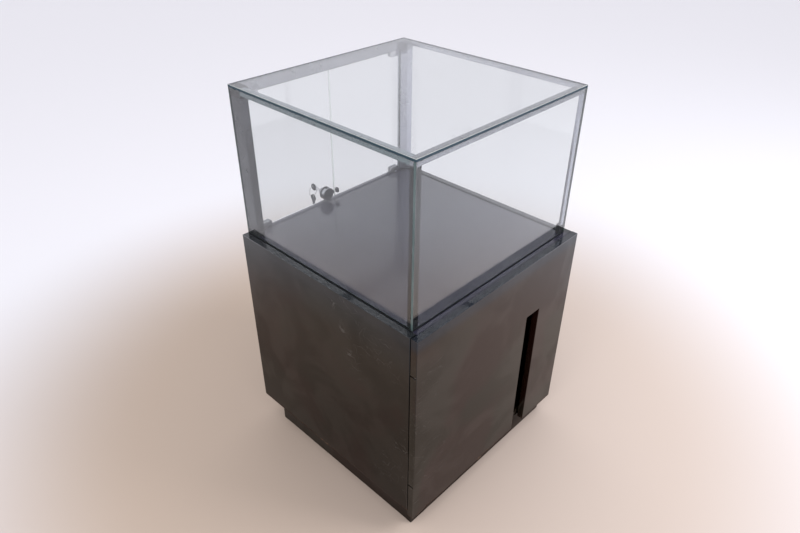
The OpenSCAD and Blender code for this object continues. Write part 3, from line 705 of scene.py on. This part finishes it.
def islands(node):
    """(lowest corner, highest corner) of each separate solid in a node."""
    bm = bmesh.new()
    bm.from_mesh(frame["nodes"][node].data)
    bmesh.ops.remove_doubles(bm, verts=bm.verts, dist=SAME_POINT)
    left, boxes = set(bm.verts), []
    while left:
        todo = [left.pop()]
        low, high = todo[0].co.copy(), todo[0].co.copy()
        while todo:
            v = todo.pop()
            for i in range(3):
                low[i], high[i] = min(low[i], v.co[i]), max(high[i], v.co[i])
            for e in v.link_edges:
                other = e.other_vert(v)
                if other in left:
                    left.remove(other)
                    todo.append(other)
        boxes.append((low, high))
    bm.free()
    return sorted(boxes, key=lambda b: tuple(round(c, 4) for c in b[0]))


def pins(name, node, axis, finish, chamfer, bore=0.0, steps=32):
    """Round pins or bushes, one in each of the node's solids, chamfered at both ends."""
    i = "xyz".index(axis)
    made = []
    for low, high in islands(node):
        centre, length = (low + high) / 2, high[i] - low[i]
        r = (high[(i + 1) % 3] - low[(i + 1) % 3]) / 2
        start = centre.copy()
        start[i] = low[i]
        line = [(0.0, r - chamfer), (chamfer, r), (length - chamfer, r), (length, r - chamfer)]
        if bore:
            line += [(length, bore), (0.0, bore)]
        else:
            line = [(0.0, 0.0)] + line + [(length, 0.0)]
        made.append(turned(line, start, (X, Y, Z)[i], steps, ring=bool(bore)))
    piece(name, made, node, finish)


def screws(name, node, axis, towards, shank_r, head_r, head_t, finish, pitch=0.0013):
    """Pan head screws with a driver socket and a ridged shank. towards is the sign of the
    direction that they point in."""
    i = "xyz".index(axis)
    socket_r, socket_depth, root_r = 0.38 * head_r, 0.6 * head_t, 0.78 * shank_r
    neck, least_point = 0.002, 0.0015
    made = []
    for low, high in islands(node):
        centre, length = (low + high) / 2, high[i] - low[i]
        start = centre.copy()
        start[i] = low[i] if towards > 0 else high[i]
        line = [
            (socket_depth, 0.0), (socket_depth, socket_r), (0.0, socket_r), (0.0, 0.72 * head_r),
            (0.35 * head_t, head_r), (head_t, head_r), (head_t, shank_r),
        ]
        at = head_t + neck
        while at + pitch < length - least_point:
            line += [(at, root_r), (at + pitch / 2, shank_r)]
            at += pitch
        line += [(at, root_r), (length, 0.0)]
        made.append(turned(line, start, (X, Y, Z)[i] * towards, 20))
    piece(name, made, node, finish)


pins("dowels", "panel_dowels", "x", BEECH, 0.0012, steps=20)
pins("hinge_pins", "storage_pivot_pins", "z", ZINC, 0.0005)
pins("hinge_bushes", "storage_door_bushes", "z", NYLON, 0.0004, bore=0.00255)
pins("left_pivots", "left_leaf_pivot_pins", "z", CHROME, 0.0004)
pins("right_pivots", "right_leaf_pivot_pins", "z", CHROME, 0.0004)
pins("buffers", "door_buffers", "y", RUBBER, 0.0007)
screws("plinth_block_screws", "plinth_screws", "z", 1, 0.0022, 0.004, 0.003, ZINC)
screws("hinge_screws", "bracket_screws", "x", -1, 0.0019, 0.0036, 0.0018, ZINC)
screws("catch_fixings", "catch_screws", "z", 1, 0.0015, 0.003, 0.0016, ZINC)
screws("plate_fixings", "lock_plate_screws", "y", 1, 0.0012, 0.0022, 0.0008, NICKEL, 0.0006)

# Grub screws of the clamps: a chamfered end against the glass, and a driver socket outside
SOCKET_DEPTH = 0.0014
for name, node in (("left_grubs", "left_clamp_screws"), ("right_grubs", "right_clamp_screws")):
    made = []
    for low, high in islands(node):
        centre, length, r = (low + high) / 2, high.y - low.y, (high.x - low.x) / 2
        made.append(turned(
            [(0.0, 0.0), (0.0, 0.7 * r), (0.3 * r, r), (length - 0.3 * r, r), (length, 0.8 * r),
             (length, 0.5 * r), (length - SOCKET_DEPTH, 0.5 * r), (length - SOCKET_DEPTH, 0.0)],
            (centre.x, low.y, centre.z), Y, 24,
        ))
    piece(name, made, node, RUBBER)

# Bushes of the leaves' pivots: blind, with their flange towards the leaf
BUSH_R, BUSH_HOLE_R, BUSH_FLOOR, FLANGE_T = 0.005, 0.00305, 0.0015, 0.001
LEAD_IN, EASE = 0.0006, 0.0003
bushes = []
for low, high in islands("leaf_pivot_bushes"):
    centre = (low + high) / 2
    up = 1 if centre.z < (leaf_low.z + leaf_high.z) / 2 else -1
    start = low.z if up > 0 else high.z
    length, flange_r = high.z - low.z, (high.x - low.x) / 2
    bushes.append(turned(
        [(0.0, 0.0), (0.0, BUSH_R - LEAD_IN), (LEAD_IN, BUSH_R), (length - FLANGE_T, BUSH_R),
         (length - FLANGE_T, flange_r), (length - EASE, flange_r), (length, flange_r - EASE),
         (length, BUSH_HOLE_R + EASE), (length - EASE, BUSH_HOLE_R), (BUSH_FLOOR, BUSH_HOLE_R),
         (BUSH_FLOOR, 0.0)],
        (centre.x, centre.y, start), Z * up, 40,
    ))
piece("pivot_bushes", bushes, "leaf_pivot_bushes", ZINC)


# ---- Lock ----

# Lengths are along the lock's axis, from the inner face of the glass: out is the outer face, rim
# the outer cover's face and tip the end of its collar
lock_low, lock_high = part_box("lock_case")
LOCK = Vector(((lock_low.x + lock_high.x) / 2, 0.0, (lock_low.z + lock_high.z) / 2))
COVER_R = (lock_high.x - lock_low.x) / 2
BARREL_R, COLLAR_R, PLUG_R = 0.011, 0.0095, 0.00705
COVER_T = 0.005
GROOVE_R, GROOVE_W, GROOVE_DEPTH, GROOVE_SLOPE = 0.0118, 0.0018, 0.0006, 0.0004
out = leaf_high.y - leaf_low.y
rim = out + COVER_T
tip = lock_high.y - leaf_low.y
cover = turned(
    [(0.0, PLUG_R), (0.0, BARREL_R), (out, BARREL_R),
     (out, COVER_R - 0.0002), (out + 0.0002, COVER_R), (rim - 0.0024, COVER_R),
     (rim - 0.0012, COVER_R - 0.0006), (rim - 0.0003, COVER_R - 0.0015), (rim, COVER_R - 0.0026),
     (rim, GROOVE_R + GROOVE_W), (rim - GROOVE_DEPTH, GROOVE_R + GROOVE_W - GROOVE_SLOPE),
     (rim - GROOVE_DEPTH, GROOVE_R + GROOVE_SLOPE), (rim, GROOVE_R),
     (rim, COLLAR_R + 0.0004), (rim + 0.0004, COLLAR_R), (tip - 0.0012, COLLAR_R),
     (tip - 0.0004, COLLAR_R - 0.0004), (tip, COLLAR_R - 0.0012),
     (tip, PLUG_R + 0.0007), (tip - 0.0003, PLUG_R + 0.0002), (tip - 0.0006, PLUG_R)],
    (LOCK.x, leaf_low.y, LOCK.z), Y, 72, ring=True,
)


def on_collar(middle, normal):
    """Whether a face is part of the collar on the outer cover."""
    radius = Vector((middle.x - LOCK.x, middle.z - LOCK.z)).length
    return middle.y > leaf_low.y + rim and radius < COLLAR_R + 0.0006


# The lock's covers are painted dark, painted shade on its chrome; the collar and the inner cup's
# arrises stay chrome, painted highlights
piece("outer_cover", two_toned(cover, on_collar), "lock_case", DARKEST_PAINTED_PLATING, CHROME)
cup = two_toned(arrised(cad_copy("lock_inner_cover"), CLAMP_ARRIS), on_arris)
piece("inner_cup", cup, "lock_inner_cover", DARKEST_PAINTED_PLATING, CHROME)
plate = arrised(cad_copy("lock_inner_plate"), 0.0002, 1)
piece("inner_plate", plate, "lock_inner_plate", CHROME)


# ---- Key ring: a split ring, wound nearly twice ----

# Two turns of the wire lie side by side, a hair thinner than the ring of the CAD
TURNS, STEPS = 1.86, 110
ring_low, ring_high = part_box("key_ring")
ring_at = (ring_low + ring_high) / 2
WIRE_R = (ring_high.y - ring_low.y) / 4 - 0.00002
RING_R = (ring_high.x - ring_low.x) / 2 - 2 * WIRE_R
coil = bmesh.new()
bmesh.ops.create_circle(
    coil, cap_ends=False, segments=12, radius=WIRE_R,
    matrix=Matrix.Translation((RING_R + WIRE_R, 0, -WIRE_R)) @ Matrix.Rotation(math.pi / 2, 4, "X"),
)
start_edges = list(coil.edges)
bmesh.ops.contextual_create(coil, geom=start_edges)
swept = bmesh.ops.spin(
    coil, geom=start_edges, cent=(0, 0, 0), axis=(0, 0, 1), dvec=(0, 0, 2 * WIRE_R / STEPS),
    angle=TURNS * 2 * math.pi, steps=STEPS, use_merge=False, use_normal_flip=False,
    use_duplicate=False,
)
last = [g for g in swept["geom_last"] if isinstance(g, bmesh.types.BMEdge)]
bmesh.ops.contextual_create(coil, geom=last)
bmesh.ops.recalc_face_normals(coil, faces=coil.faces)
coil.transform(Matrix.Translation(ring_at) @ Matrix.Rotation(-math.pi / 2, 4, "X"))
piece("split_ring", coil, "key_ring", NICKEL)


# ---- Stage, light and camera ----

def floor_finish():
    """A plain pale floor, paler away from the case, and darker and warmer towards -X and +Y, a
    painted shadow of the case.
    """
    f = Finish("pale_floor")
    x, y, _ = f.axes()
    away = (x * x + y * y) ** 0.5
    # Painted shadow: darker and warmer towards -X and +Y
    near = f.blend((x - y).rise(-0.9, 1.3), (0.53, 0.425, 0.36), (0.63, 0.530, 0.485))
    colour = f.blend(away.rise(0.75, 1.7), near, (0.86, 0.855, 0.930))
    return f.done(f.shader(colour, 0.55, Specular_IOR_Level=0.25))


ground = bmesh.new()
bmesh.ops.create_circle(ground, cap_ends=True, segments=96, radius=9.0)
ground_mesh = bpy.data.meshes.new("studio_floor")
ground.to_mesh(ground_mesh)
ground.free()
ground_mesh.materials.append(floor_finish())
studio_floor = bpy.data.objects.new("studio_floor", ground_mesh)
scene.collection.objects.link(studio_floor)

world = bpy.data.worlds.new("studio")
world.use_nodes = True
scene.world = world
sky = Finish("studio", world.node_tree)
seen = sky.node("ShaderNodeLightPath", out="Is Camera Ray")
seen = seen.most(seen.side("Is Glossy Ray")).most(seen.side("Is Transmission Ray"))
lighting = sky.node("ShaderNodeBackground", None, {
    "Color": (1.0, 0.99, 0.985, 1.0), "Strength": 0.92,
})
backdrop = sky.node("ShaderNodeBackground", None, {
    "Color": (0.89, 0.885, 0.955, 1.0), "Strength": 1.0,
})
sky_mix = sky.node("ShaderNodeMixShader", None, {0: seen, 1: lighting, 2: backdrop})
sky_out = sky.tree.nodes.new("ShaderNodeOutputWorld")
sky.tree.links.new(sky_mix.socket, sky_out.inputs["Surface"])


def softbox(name, at, aim, size, watts):
    """A square area lamp that nothing mirrors, also not by way of the glass."""
    lamp = bpy.data.lights.new(name, "AREA")
    lamp.shape, lamp.size, lamp.energy = "SQUARE", size, watts
    made = bpy.data.objects.new(name, lamp)
    made.location = at
    made.rotation_euler = (Vector(aim) - Vector(at)).to_track_quat("-Z", "Y").to_euler()
    made.visible_glossy = False
    made.visible_transmission = False
    scene.collection.objects.link(made)


softbox("key", (1.6, -2.4, 2.6), (0, 0, 0.5), 1.6, 60.0)
softbox("fill", (-2.4, -0.6, 2.2), (0, 0, 0.5), 1.6, 22.0)

# The camera that was fitted to the picture. The image's width and focal length are in pixels
IMAGE_W, FOCAL_PX, SENSOR = 800, 651.98, 36.0
CAMERA_AT = (-1.04317, -0.99339, 1.46346)
azimuth, elevation, roll = (math.radians(a) for a in (-46.195, 33.572, 0.397))
look = Vector((
    -math.sin(azimuth) * math.cos(elevation), math.cos(azimuth) * math.cos(elevation),
    -math.sin(elevation),
))
level = look.cross(Z).normalized()
rise = level.cross(look)
right = math.cos(roll) * level + math.sin(roll) * rise
up = math.cos(roll) * rise - math.sin(roll) * level
lens = bpy.data.cameras.new("camera")
lens.sensor_fit, lens.sensor_width = "HORIZONTAL", SENSOR
lens.lens = FOCAL_PX / IMAGE_W * SENSOR
camera = bpy.data.objects.new("camera", lens)
turn = Matrix((right, up, -look)).transposed().to_4x4()
camera.matrix_world = Matrix.Translation(CAMERA_AT) @ turn
scene.collection.objects.link(camera)
scene.camera = camera
scene.view_settings.view_transform = "Standard"
